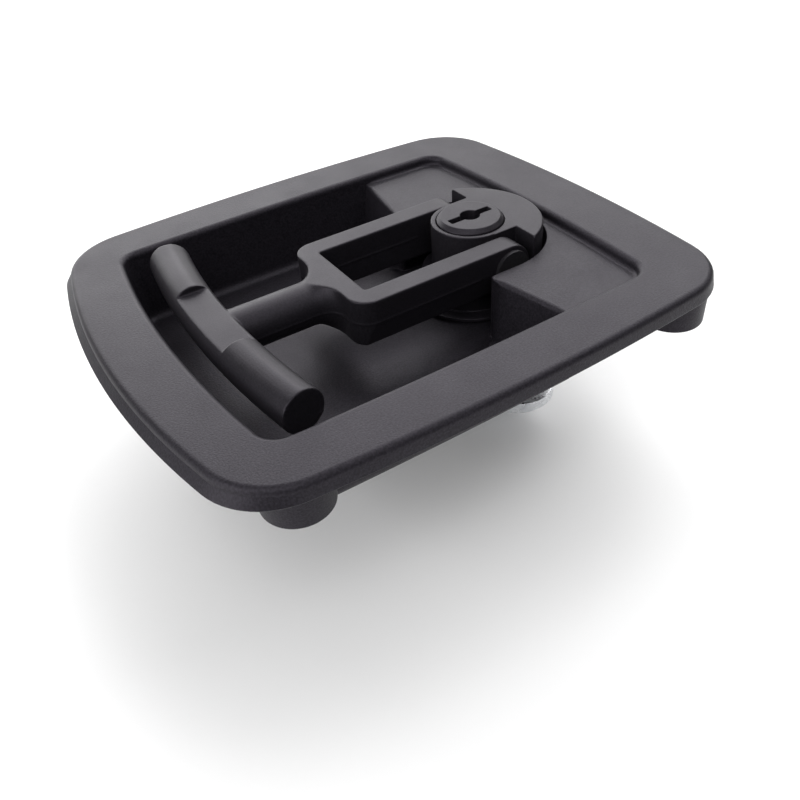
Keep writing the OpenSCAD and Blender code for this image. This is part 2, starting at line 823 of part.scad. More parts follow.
// The round neck and its flare into the fork
module neck() {
    r = neck_d / 2;
    translate([rotor_x - grip_reach, 0, parting_z + neck_rise]) rotate([0, 90, 0])
        cylinder(r = r, h = grip_reach - fork_reach + fork_end / 2);
    intersection() {
        translate([rotor_x - fork_reach, 0, parting_z + neck_rise]) rotate([0, 90, 0])
            rotate_extrude($fn = 180) polygon([
                [0, -flare_r],
                each arc([r + flare_r, -flare_r], flare_r, 180, 90, 2 * edge_steps),
                [r + flare_r, fork_end / 4], [0, fork_end / 4]
            ]);
        translate([rotor_x - grip_reach, -fork_half, parting_z - fork_h / 2])
            cube([grip_reach, fork_w, fork_h]);
    }
}

// The closed end of the fork, with its two round corners
module fork_bridge() {
    bridge_l = fork_corner + fork_end;
    translate([rotor_x - fork_reach, 0, parting_z - fork_h / 2]) linear_extrude(fork_h) difference() {
        union() {
            translate([0, fork_corner - fork_half]) square([bridge_l, fork_w - 2 * fork_corner]);
            translate([fork_corner, -fork_half]) square([bridge_l - fork_corner, fork_w]);
            both_sides() translate([fork_corner, fork_half - fork_corner]) circle(fork_corner);
        }
        translate([fork_end, -fork_inner]) square([bridge_l, 2 * fork_inner]);
    }
}

// One arm, round about the pivot at its end
module fork_arm() {
    start = rotor_x - fork_reach + fork_corner;
    translate([0, fork_half, parting_z]) rotate([90, 0, 0]) linear_extrude(arm_w) {
        translate([start, -fork_h / 2]) square([rotor_x - start, fork_h]);
        translate([rotor_x, 0]) circle(d = fork_h);
    }
}

// What the lean of the fork's side takes away below the parting line
module fork_lean() {
    translate([rotor_x - fork_reach - past, fork_half, parting_z]) rotate([-fork_draft, 0, 0])
        translate([0, 0, -fork_h]) cube([fork_reach + fork_h, fork_h, fork_h]);
}

module t_handle() {
    pad_z = parting_z + grip_rise + grip_d / 2 - pad_depth;
    color(satin_coat) difference() {
        union() {
            grip();
            neck();
            fork_bridge();
            both_sides() fork_arm();
        }
        both_sides() fork_lean();
        translate([rotor_x - grip_reach - grip_d, -pad_l / 2, pad_z])
            cube([2 * grip_d, pad_l, grip_d]);
        at_rotor() translate([0, 0, parting_z]) both_sides()
            along_y(pivot_d + 2 * running_gap, fork_inner - past, fork_half + past);
    }
}

module lock_plug() {
    face_low = sink_z + slide_gap;
    color(satin_coat) at_rotor() difference() {
        union() {
            translate([0, 0, barrel_bottom]) cylinder(d = plug_d, h = face_low - barrel_bottom + past);
            translate([0, 0, face_low]) cylinder(d = face_d, h = face_top - face_bevel_h - face_low);
            translate([0, 0, face_top - face_bevel_h])
                cylinder(d1 = face_d, d2 = face_d - 2 * face_bevel, h = face_bevel_h);
            translate([0, 0, tail_bottom])
                linear_extrude(barrel_bottom - tail_bottom + past) square(tail_square, center = true);
        }
        translate([-slot_l / 2, -keyway_w / 2, face_top - slot_depth])
            cube([slot_l, keyway_w, slot_depth + past]);
        translate([-keyway_l / 2, -keyway_w / 2, barrel_bottom + plug_end])
            cube([keyway_l, keyway_w, face_top - barrel_bottom]);
        translate([0, 0, face_top - eye_depth]) cylinder(d = eye_d, h = eye_depth + past);
        at_wafers() translate([0, 0, -slide_gap / 2]) wafer_plate(
            plug_d, wafer_w + slide_gap, wafer_t + slide_gap
        );
    }
}

module at_wafers() {
    for (i = [0:wafer_count - 1])
        translate([0, 0, barrel_bottom + plug_end + i * wafer_pitch]) children();
}

module wafer_plate(l, w, t) {
    translate([-l / 2, -w / 2, 0]) cube([l, w, t]);
}

module wafers() {
    color(brass) at_rotor() at_wafers() difference() {
        wafer_plate(wafer_l, wafer_w, wafer_t);
        translate([-keyway_l / 2 + keyway_w / 2, -keyway_w / 2, -past])
            cube([keyway_l - keyway_w, keyway_w, wafer_t + 2 * past]);
    }
}

module tail_cam() {
    color(brass) at_rotor() difference() {
        union() {
            translate([0, 0, tail_bottom]) cylinder(d = tail_d, h = tail_t);
            rotate(peg_heading) translate([peg_throw, 0, bolt_bottom + slide_gap])
                cylinder(d = peg_d, h = tail_bottom - bolt_bottom - slide_gap + tail_t / 2);
        }
        translate([0, 0, tail_bottom - seat_gap]) linear_extrude(tail_t + past)
            square(tail_square + 2 * seat_gap, center = true);
    }
}

module lock_bolt() {
    nose = rotor_r - bolt_inset;
    slot_w = peg_d + 2 * slide_gap;
    color(zinc) at_rotor() translate([0, 0, bolt_bottom]) linear_extrude(bolt_t) difference() {
        union() {
            translate([-bolt_body_half, -bolt_body_w / 2]) square([2 * bolt_body_half, bolt_body_w]);
            translate([0, -bolt_nose_w / 2]) square([nose, bolt_nose_w]);
        }
        translate([-bolt_travel / 2 - slot_w / 2, 0]) square([slot_w, peg_throw + peg_d / 2 + slide_gap]);
    }
}

pan();
spindle_bush();
shaft_seal();
stop_pin();
rotor();
pivot_pins();
pivot_washers();
lock_barrel();
spindle();
spindle_screws();
thrust_washer();
retaining_ring();
cam();
cam_washer();
spring_washer();
cam_bolt();
t_handle();
lock_plug();
wafers();
tail_cam();
lock_bolt();
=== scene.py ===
import json
import math

import bmesh
import bpy
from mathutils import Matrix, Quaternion, Vector
from mathutils.geometry import delaunay_2d_cdt

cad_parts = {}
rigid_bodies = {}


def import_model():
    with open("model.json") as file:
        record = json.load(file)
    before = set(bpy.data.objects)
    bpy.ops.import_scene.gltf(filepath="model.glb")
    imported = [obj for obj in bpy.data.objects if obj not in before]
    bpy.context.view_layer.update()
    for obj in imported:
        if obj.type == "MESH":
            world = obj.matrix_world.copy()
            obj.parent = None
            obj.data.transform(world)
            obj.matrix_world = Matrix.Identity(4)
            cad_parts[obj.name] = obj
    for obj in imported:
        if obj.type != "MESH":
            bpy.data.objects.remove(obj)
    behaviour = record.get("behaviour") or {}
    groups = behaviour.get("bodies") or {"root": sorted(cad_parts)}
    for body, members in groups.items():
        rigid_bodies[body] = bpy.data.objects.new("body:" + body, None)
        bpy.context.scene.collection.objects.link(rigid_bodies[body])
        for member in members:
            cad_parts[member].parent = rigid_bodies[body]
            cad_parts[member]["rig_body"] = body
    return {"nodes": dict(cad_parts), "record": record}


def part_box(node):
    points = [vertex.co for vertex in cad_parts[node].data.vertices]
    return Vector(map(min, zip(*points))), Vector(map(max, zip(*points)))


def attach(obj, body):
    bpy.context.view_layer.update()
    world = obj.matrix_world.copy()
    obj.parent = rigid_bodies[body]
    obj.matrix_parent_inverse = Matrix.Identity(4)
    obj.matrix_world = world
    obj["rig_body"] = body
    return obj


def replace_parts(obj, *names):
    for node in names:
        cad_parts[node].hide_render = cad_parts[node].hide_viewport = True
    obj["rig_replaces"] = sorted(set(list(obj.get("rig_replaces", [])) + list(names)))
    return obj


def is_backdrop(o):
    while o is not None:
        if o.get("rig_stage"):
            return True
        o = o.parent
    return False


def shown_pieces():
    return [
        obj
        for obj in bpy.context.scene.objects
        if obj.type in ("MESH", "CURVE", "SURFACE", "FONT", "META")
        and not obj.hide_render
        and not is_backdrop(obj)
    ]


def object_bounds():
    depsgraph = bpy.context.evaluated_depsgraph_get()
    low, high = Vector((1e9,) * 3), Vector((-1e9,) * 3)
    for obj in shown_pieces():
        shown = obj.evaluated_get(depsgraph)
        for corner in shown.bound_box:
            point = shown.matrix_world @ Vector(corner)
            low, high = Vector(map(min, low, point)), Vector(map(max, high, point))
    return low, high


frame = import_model()
CAD_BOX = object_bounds()

# Sizes are in millimetres in the part's own frame, and MM turns them into metres
MM = 0.001

# Sizes that the frame gives
PAN_LO, PAN_HI = [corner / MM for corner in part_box("pan")]
BUSH_LO, BUSH_HI = [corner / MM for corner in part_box("spindle_bush")]
STOP_LO, STOP_HI = [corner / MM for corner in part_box("stop_pin")]
BOLT_LO, BOLT_HI = [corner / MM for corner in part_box("lock_bolt")]
PIN_LO, PIN_HI = [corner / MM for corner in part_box("pivot_pins")]
ROTOR_X = (BUSH_LO.x + BUSH_HI.x) / 2
ROTOR_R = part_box("rotor")[1].x / MM - ROTOR_X

# Flange
FLANGE_T = PAN_HI.z
FLANGE_CORNER = 16
FLANGE_ROUND = 1.6
FLANGE_BACK_ROUND = 0.5
FLANGE_SIDE_BOW = 3.3
FLANGE_GRIP_BOW = 8.6
FLANGE_ROTOR_BOW = 4.1
FOOT_GRIP_OUT = 1.6
FOOT_OUT = 0.3

# Recess, deck and well
RECESS_GRIP_X = ROTOR_X - 78.3
RECESS_ROTOR_X = ROTOR_X + 19.4
RECESS_W = 83
RECESS_CORNER = 4.5
RECESS_SIDE_BOW = 0.8
RECESS_GRIP_BOW = 3.7
RECESS_ROTOR_BOW = 1.9
RECESS_ROUND = 1.4
DECK_Z = FLANGE_T - 2.5
DECK_FILLET = 1.0
FILLET_SHARE = 0.8
DECK_FRONT_X = ROTOR_X - 8.8
DECK_SLANT = math.radians(9.5)
DECK_EDGE_ROUND = 1.3
DECK_CORNER_ROUND = 1.2
WELL_FLOOR_Z = FLANGE_T - 18.5
WELL_DRAFT = 1.5
WELL_ROUND = 2.0
WELL_LEAN = WELL_DRAFT * (DECK_Z - WELL_FLOOR_Z - WELL_ROUND) / (DECK_Z - WELL_FLOOR_Z)
WELL_FRONT_LEAN = 2.4
POCKET_R = ROTOR_R + 0.9
POCKET_EDGE_ROUND = 0.35
POCKET_FLOOR_ROUND = 0.3
FADE = 3.0

# Back of the pan
WALL = 3.0
UNDER_Z = WELL_FLOOR_Z - WALL
SKIRT_FILLET = 0.8
HOUSING_R = POCKET_R + 5.4
HOUSING_LAP = 0.5
HOUSING_STEP = 0.1
HOUSING_TURN = 104
HOLLOW_TOP_Z = DECK_Z - WALL
BEARING_R = 12.0
BOSS_R = 7.35
BOSS_H = 9.3
BOSS_X = 48.5
BOSS_Y = 44.0
BOSS_LAP = 1.0
BOSS_HOLE_R = 2.1
BOSS_HOLE_TOP = 0.5
RIM_ROUND = 0.5
BUSH_FLANGE_T = 1.2
BUSH_R = 8.0
STOP_R = (STOP_HI.y - STOP_LO.y) / 2 + 0.02
KEEPER_TURNS = (0, 45)
KEEPER_W = 6.4
KEEPER_GAP = 0.2
KEEPER_REACH = BOLT_HI.x - ROTOR_X + 3.4

# Parting line that the mould leaves round the handle's neck and fork
SEAM_Z = (PIN_LO.z + PIN_HI.z) / 2
SEAM_W = 0.34
SEAM_H = 0.14
SEAM_SLOPE = 0.8
SEAM_FIRST_X = ROTOR_X - 62
SEAM_LAST_X = ROTOR_X - 9

# Camera, fitted to the flange's outline in the 800 by 800 picture
VIEW_TARGET = Vector((ROTOR_X - 47.28, -40.13, FLANGE_T - 5.0))
VIEW_AZIMUTH = math.radians(-30.517)
VIEW_ELEVATION = math.radians(39.898)
VIEW_ROLL = math.radians(4.354)
VIEW_DISTANCE = 152.55
VIEW_LENS = 35.662
VIEW_SENSOR = 36.0


# Meshes

class Mesher:
    """Collects points in millimetres and faces, and makes one object of them."""

    def __init__(self):
        self.points = []
        self.faces = []

    def row(self, points):
        first = len(self.points)
        self.points.extend(points)
        return list(range(first, len(self.points)))

    def bridge(self, low, high, closed=True):
        count = len(low)
        for i in range(count if closed else count - 1):
            j = (i + 1) % count
            self.faces.append((low[i], low[j], high[j], high[i]))

    def strips(self, rows, closed=True):
        for low, high in zip(rows, rows[1:]):
            self.bridge(low, high, closed)

    def cap(self, ring):
        """Closes a level ring with triangles."""
        plan = [Vector(self.points[i][:2]) for i in ring]
        _, _, triangles, origins, _, _ = delaunay_2d_cdt(plan, [], [list(range(len(ring)))], 1, 1e-6)
        for triangle in triangles:
            self.faces.append(tuple(ring[origins[corner][0]] for corner in triangle))

    def build(self, name):
        mesh = bpy.data.meshes.new(name)
        mesh.from_pydata([Vector(p) * MM for p in self.points], [], self.faces)
        made = bmesh.new()
        made.from_mesh(mesh)
        bmesh.ops.remove_doubles(made, verts=made.verts, dist=0.002 * MM)
        bmesh.ops.dissolve_degenerate(made, edges=made.edges, dist=0.002 * MM)
        bmesh.ops.recalc_face_normals(made, faces=made.faces)
        made.to_mesh(mesh)
        made.free()
        piece = bpy.data.objects.new(name, mesh)
        bpy.context.scene.collection.objects.link(piece)
        return piece


def arc(cx, cy, r, first, last, steps):
    """Points of an arc, both ends included, with angles in degrees."""
    angles = [math.radians(first + (last - first) * i / steps) for i in range(steps + 1)]
    return [(cx + r * math.cos(a), cy + r * math.sin(a)) for a in angles]


def lathe(name, profile, x, y, steps=64):
    """A solid of revolution about a vertical axis, from a profile of radius and height."""
    mesher = Mesher()
    turns = [2 * math.pi * i / steps for i in range(steps)]
    rows = [
        mesher.row([(x + r * math.cos(a), y + r * math.sin(a), z) for a in turns])
        for r, z in profile
    ]
    mesher.strips(rows)
    mesher.cap(rows[0])
    mesher.cap(rows[-1])
    return mesher.build(name)


def sector(name, profile, x, y, first, last, steps):
    """A closed profile of radius and height, turned from one angle to another about a vertical axis."""
    mesher = Mesher()
    turns = [math.radians(first + (last - first) * i / steps) for i in range(steps + 1)]
    rows = [
        mesher.row([(x + r * math.cos(a), y + r * math.sin(a), z) for r, z in profile])
        for a in turns
    ]
    mesher.strips(rows)
    mesher.faces += [tuple(rows[0]), tuple(rows[-1])]
    return mesher.build(name)


def prism(name, low, high, z_lo, z_hi):
    """A solid between two outlines with as many points each."""
    mesher = Mesher()
    rows = [mesher.row([(x, y, z) for x, y in outline]) for outline, z in ((low, z_lo), (high, z_hi))]
    mesher.strips(rows)
    mesher.cap(rows[0])
    mesher.cap(rows[1])
    return mesher.build(name)


def combine(piece, tool, operation):
    """Joins or cuts with another object, which is then removed."""
    modifier = piece.modifiers.new(operation, "BOOLEAN")
    modifier.operation = operation
    modifier.solver = "EXACT"
    modifier.object = tool
    keep_result(piece)
    bpy.data.objects.remove(tool)


def keep_result(piece):
    """Replaces a piece's mesh by what its modifiers make of it."""
    graph = bpy.context.evaluated_depsgraph_get()
    mesh = bpy.data.meshes.new_from_object(piece.evaluated_get(graph))
    piece.modifiers.clear()
    piece.data = mesh


def smooth(piece, angle=30):
    """Smooth shading that keeps flat faces flat and edges over the angle sharp."""
    mesh = piece.data
    mesh.shade_smooth()
    mesh.set_sharp_from_angle(angle=math.radians(angle))
    weighted = piece.modifiers.new("weighted_normals", "WEIGHTED_NORMAL")
    weighted.keep_sharp = True
    weighted.weight = 100


def softened(node, voxel, passes):
    """A copy of a CAD node with its edges rounded as on a casting, which stands for the node."""
    source = frame["nodes"][node]
    mesh = source.data.copy()
    mesh.materials.clear()
    made = bmesh.new()
    made.from_mesh(mesh)
    bmesh.ops.remove_doubles(made, verts=made.verts, dist=0.001 * MM)
    made.to_mesh(mesh)
    made.free()
    piece = bpy.data.objects.new(node + "_finished", mesh)
    bpy.context.scene.collection.objects.link(piece)
    remesh = piece.modifiers.new("remesh", "REMESH")
    remesh.mode = "VOXEL"
    remesh.voxel_size = voxel * MM
    rounding = piece.modifiers.new("rounding", "SMOOTH")
    rounding.factor = 0.5
    rounding.iterations = passes
    keep_result(piece)
    piece.data.shade_smooth()
    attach(piece, source["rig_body"])
    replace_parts(piece, node)
    return piece


def raise_seam(piece):
    """Raises the parting line along the handle's upright sides."""
    vertices = piece.data.vertices
    normals = [vertex.normal.copy() for vertex in vertices]
    for vertex, normal in zip(vertices, normals):
        x, _, z = vertex.co / MM
        off = abs(z - SEAM_Z) / SEAM_W
        if off < 1 and abs(normal.z) < SEAM_SLOPE and SEAM_FIRST_X < x < SEAM_LAST_X:
            vertex.co += normal * SEAM_H * (1 - off * off) * MM


# The pan's bowed outlines

def bow_radius(half, bow):
    return (half * half + bow * bow) / (2 * bow)


def circles_meet(p, rp, q, rq):
    """Where two circles meet, on the left of the way from the first centre to the second."""
    gap = (q - p).length
    along = (rp * rp - rq * rq + gap * gap) / (2 * gap)
    u = (q - p) / gap
    side = Vector((-u.y, u.x))
    return p + along * u + math.sqrt(rp * rp - along * along) * side


class Outline:
    """A closed outline of four bowed sides and four round corners, anticlockwise from the rotor end."""

    END_STEPS = 28
    CORNER_STEPS = 12
    DECK_STEPS = 10
    WELL_STEPS = 18

    def __init__(self, x_lo, x_hi, half_w, bow_lo, bow_hi, bow_side, corner):
        mid = (x_lo + x_hi) / 2
        r_hi = bow_radius(half_w, bow_hi)
        r_lo = bow_radius(half_w, bow_lo)
        r_side = bow_radius((x_hi - x_lo) / 2, bow_side)
        sides = [
            (Vector((x_hi - r_hi, 0)), r_hi),
            (Vector((mid, half_w - r_side)), r_side),
            (Vector((x_lo + r_lo, 0)), r_lo),
            (Vector((mid, r_side - half_w)), r_side),
        ]
        centres = [
            circles_meet(a[0], a[1] - corner, b[0], b[1] - corner)
            for a, b in zip(sides, sides[1:] + sides[:1])
        ]
        self.arcs = []
        for i, (centre, radius) in enumerate(sides):
            first = heading(centre, centres[i - 1])
            last = heading(centre, centres[i])
            after = heading(sides[(i + 1) % 4][0], centres[i])
            self.arcs.append((centre, radius, first, sweep(first, last)))
            self.arcs.append((centres[i], corner, last, sweep(last, after)))
        self.spots = []

    def spread(self, far_share):
        """Lays the outline's points out, with one at a share of the way along each long side."""
        near_share = 1 - far_share
        for i, (centre, radius, first, turn) in enumerate(self.arcs):
            if i == 2:
                shares = split_shares(far_share, self.DECK_STEPS, self.WELL_STEPS)
                self.far_join = len(self.spots) + self.DECK_STEPS
            elif i == 6:
                shares = split_shares(near_share, self.WELL_STEPS, self.DECK_STEPS)
                self.near_join = len(self.spots) + self.WELL_STEPS
            else:
                steps = self.CORNER_STEPS if i % 2 else self.END_STEPS
                shares = [k / steps for k in range(steps)]
            self.spots += [(centre, radius, first + turn * share) for share in shares]
        return self

    def point(self, index, out):
        centre, radius, angle = self.spots[index % len(self.spots)]
        return centre + (radius + out) * Vector((math.cos(angle), math.sin(angle)))

    def ring(self, out, z):
        return [(*self.point(i, out), z) for i in range(len(self.spots))]


def heading(start, end):
    return math.atan2(end.y - start.y, end.x - start.x)


def sweep(first, last):
    return (last - first) % (2 * math.pi)


def split_shares(share, first_steps, last_steps):
    """Shares along a side, in two stretches that meet at one share."""
    first = [share * k / first_steps for k in range(first_steps)]
    return first + [share + (1 - share) * k / last_steps for k in range(last_steps)]


def deck_front(y):
    """Where the deck's front edge lies, at a distance from the middle."""
    return DECK_FRONT_X + (abs(y) - POCKET_R) * math.tan(DECK_SLANT)


def share_at_deck(outline):
    """How far along the far side the deck's front edge meets the recess."""
    centre, radius, first, turn = outline.arcs[2]
    low, high = 0.0, 1.0
    for _ in range(40):
        share = (low + high) / 2
        angle = first + turn * share
        spot = centre + radius * Vector((math.cos(angle), math.sin(angle)))
        if spot.x > deck_front(spot.y):
            low = share
        else:
            high = share
    return share


def fade(distance):
    """Grows from 0 to 1 over the fade length."""
    t = min(max(distance / FADE, 0.0), 1.0)
    return t * t * (3 - 2 * t)


class DeckEdge:
    """The deck's inner edge in plan, from the near wall round the rotor's pocket to the far wall."""

    LINE_STEPS = 14
    CORNER_STEPS = 6
    SLOT_STEPS = 4
    POCKET_STEPS = 28

    def __init__(self, start):
        corner = Vector((DECK_FRONT_X, -POCKET_R))
        along = (corner - start).normalized()
        turn = math.acos(along.x)
        cut = DECK_CORNER_ROUND * math.tan(turn / 2)
        line_end = corner - along * cut
        inward = Vector((along.y, -along.x))
        hub = line_end + inward * DECK_CORNER_ROUND
        first = math.degrees(math.atan2(-inward.y, -inward.x)) % 360
        path = [
            start.lerp(line_end, (1 - math.cos(math.pi * k / self.LINE_STEPS)) / 2)
            for k in range(self.LINE_STEPS)
        ]
        path += [Vector(p) for p in arc(*hub, DECK_CORNER_ROUND, first, 90, self.CORNER_STEPS)]
        slot_start = path[-1]
        slot_end = Vector((ROTOR_X, -POCKET_R))
        path += [slot_start.lerp(slot_end, k / self.SLOT_STEPS) for k in range(1, self.SLOT_STEPS)]
        path += [Vector(p) for p in arc(ROTOR_X, 0, POCKET_R, -90, 0, self.POCKET_STEPS)]
        far = [Vector((p.x, -p.y)) for p in reversed(path[:-1])]
        self.points = path + far
        self.line_length = (line_end - start).length
        count = len(self.points)
        self.normals = []
        self.front = []
        self.shares = []
        for i, p in enumerate(self.points):
            ahead = self.points[min(i + 1, count - 1)] - self.points[max(i - 1, 0)]
            ahead.normalize()
            self.normals.append(Vector((ahead.y, -ahead.x)))
            mirrored = Vector((p.x, -abs(p.y)))
            gone = (mirrored - start).dot(along)
            on_line = self.line_length - gone if mirrored.y < corner.y else 0.0
            self.front.append((fade(gone), fade(on_line)))
            self.shares.append(min(gone / self.line_length, 1.0) if on_line else 1.0)

    def edge_round(self, i):
        off_wall, on_line = self.front[i]
        return off_wall * (POCKET_EDGE_ROUND + (DECK_EDGE_ROUND - POCKET_EDGE_ROUND) * on_line)

    def inset(self, i, c):
        """How far the wall below the edge has come forward, at a point of its foot's rounding."""
        return WELL_FRONT_LEAN * self.front[i][1] + self.floor_round(i) * (1 - c)

    def floor_round(self, i):
        return POCKET_FLOOR_ROUND + (WELL_ROUND - POCKET_FLOOR_ROUND) * self.front[i][1]


def make_tray(recess):
    """The pan's casting without its bosses and bores, as one loft."""
    bows = (FLANGE_GRIP_BOW, FLANGE_ROTOR_BOW, FLANGE_SIDE_BOW)
    foot = Outline(PAN_LO.x, PAN_HI.x, PAN_HI.y, *bows, FLANGE_CORNER)
    flange = Outline(
        PAN_LO.x + FOOT_GRIP_OUT, PAN_HI.x - FOOT_OUT, PAN_HI.y - FOOT_OUT, *bows, FLANGE_CORNER
    )
    share = share_at_deck(recess)
    for outline in (foot, flange, recess):
        outline.spread(share)
    mesher = Mesher()
    outside = [recess.ring(out, z) for out, z in [
        *arc(-WELL_LEAN - WELL_ROUND, WELL_FLOOR_Z + WELL_ROUND, WELL_ROUND + WALL, -90, 0, 8),
        *reversed(arc(WALL + SKIRT_FILLET, -SKIRT_FILLET, SKIRT_FILLET, 90, 180, 4)),
    ]]
    outside += [foot.ring(out, z) for out, z in
                arc(-FLANGE_BACK_ROUND, FLANGE_BACK_ROUND, FLANGE_BACK_ROUND, -90, 0, 3)]
    outside += [flange.ring(out, z) for out, z in
                arc(-FLANGE_ROUND, FLANGE_T - FLANGE_ROUND, FLANGE_ROUND, 0, 90, 8)]
    outside += [recess.ring(out, z) for out, z in reversed(
        arc(RECESS_ROUND, FLANGE_T - RECESS_ROUND, RECESS_ROUND, 180, 90, 8)
    )]
    rows = [mesher.row(ring) for ring in outside]
    mesher.cap(rows[0])
    mesher.strips(rows)
    add_recess_inside(mesher, recess, rows[-1])
    return mesher.build("pan_casting")


def add_recess_inside(mesher, recess, lip):
    """The deck with its fillet and rounded edge, and the well with its leaning walls and floor."""
    count = len(recess.spots)
    near, far = recess.near_join, recess.far_join
    deck_indices = list(range(near, count + far + 1))
    well_indices = list(range(far, near + 1))
    edge = DeckEdge(recess.point(near, 0))

    # Fillet between the recess's wall and the deck
    gone = [0.0]
    for a, b in zip(deck_indices, deck_indices[1:]):
        gone.append(gone[-1] + (recess.point(b, 0) - recess.point(a, 0)).length)
    fillets = []
    for i, g in zip(deck_indices, gone):
        room = (recess.point(i, 0) - Vector((ROTOR_X, 0))).length - POCKET_R - POCKET_EDGE_ROUND
        fillets.append(min(DECK_FILLET * fade(min(g, gone[-1] - g)), FILLET_SHARE * room))
    fillet_rows = [[lip[i % count] for i in deck_indices]]
    for turn in range(180, 271, 15):
        out = 1 + math.cos(math.radians(turn))
        rise = 1 + math.sin(math.radians(turn))
        fillet_rows.append(mesher.row([
            (*recess.point(i, -r * out), DECK_Z + r * rise) for i, r in zip(deck_indices, fillets)
        ]))
    mesher.strips(fillet_rows, closed=False)

    # Rounded edge of the deck
    spots = range(len(edge.points))
    rounding_rows = []
    for turn in range(180, 89, -15):
        out = 1 + math.cos(math.radians(turn))
        drop = 1 - math.sin(math.radians(turn))
        rounding_rows.append(mesher.row([
            (
                *(edge.points[i] + edge.normals[i] * edge.edge_round(i) * out),
                DECK_Z - edge.edge_round(i) * drop,
            )
            for i in spots
        ]))
    mesher.strips(rounding_rows, closed=False)
    mesher.cap(fillet_rows[-1] + rounding_rows[-1][::-1])

    # Walls of the well and its floor
    wall_rows = []
    for turn in range(-90, 1, 15):
        c, s = math.cos(math.radians(turn)), math.sin(math.radians(turn))
        fronts = [edge.points[i] - edge.normals[i] * edge.inset(i, c) for i in spots]
        slide = edge.inset(0, c) / edge.normals[0].x
        walls = []
        for i in well_indices:
            share = max(0, 1 - min(i - far, near - i) / recess.WELL_STEPS)
            walls.append(recess.point(i, -WELL_LEAN - WELL_ROUND * (1 - c)) - Vector((slide * share, 0)))
        row = [(*spot, WELL_FLOOR_Z + WELL_ROUND * (1 + s)) for spot in walls]
        for i in spots[1:-1]:
            aside = walls[-1] - fronts[0] if i < len(edge.points) / 2 else walls[0] - fronts[-1]
            spot = fronts[i] + aside * (1 - edge.shares[i])
            row.append((*spot, WELL_FLOOR_Z + edge.floor_round(i) * (1 + s)))
        wall_rows.append(mesher.row(row))
    brim = mesher.row([(*recess.point(i, 0), DECK_Z) for i in well_indices])
    wall_rows.append(brim + rounding_rows[0][1:-1])
    mesher.strips(wall_rows)
    mesher.cap(wall_rows[0])
    mesher.bridge(brim, [lip[i] for i in well_indices], closed=False)


def rim_profile(r, z_lo, z_hi, rim=RIM_ROUND):
    """Profile of a round boss that stands downwards, with a rounded lower rim."""
    return [*arc(r - rim, z_lo + rim, rim, -90, 0, 4), (r, z_hi)]


def hollow_outline(side, z):
    """Plan of the hollow behind the deck at a height, on one side of the rotor's housing."""
    radius = HOUSING_R - HOUSING_LAP
    wall = WALL - WELL_FRONT_LEAN * (DECK_Z - z) / (DECK_Z - WELL_FLOOR_Z)
    low, high = 90.0, 135.0
    for _ in range(40):
        turn = (low + high) / 2
        x, y = arc(ROTOR_X, 0, radius, 0, turn, 1)[-1]
        if x > deck_front(y) + wall:
            low = turn
        else:
            high = turn
    far = PAN_HI.y
    outline = arc(ROTOR_X, 0, radius, 0, turn, 24)
    outline += [(deck_front(far) + wall, far), (PAN_HI.x, far), (PAN_HI.x, 0)]
    return [(x, side * y) for x, y in outline]


def keeper_outline(turn):
    """Plan of the slot for the lock bolt's nose in the pocket's wall."""
    ahead = Vector((math.cos(math.radians(turn)), math.sin(math.radians(turn))))
    aside = Vector((-ahead.y, ahead.x)) * KEEPER_W / 2
    axis = Vector((ROTOR_X, 0))
    inner = axis + ahead * ROTOR_R / 2
    outer = axis + ahead * KEEPER_REACH
    return [inner - aside, outer - aside, outer + aside, inner + aside]


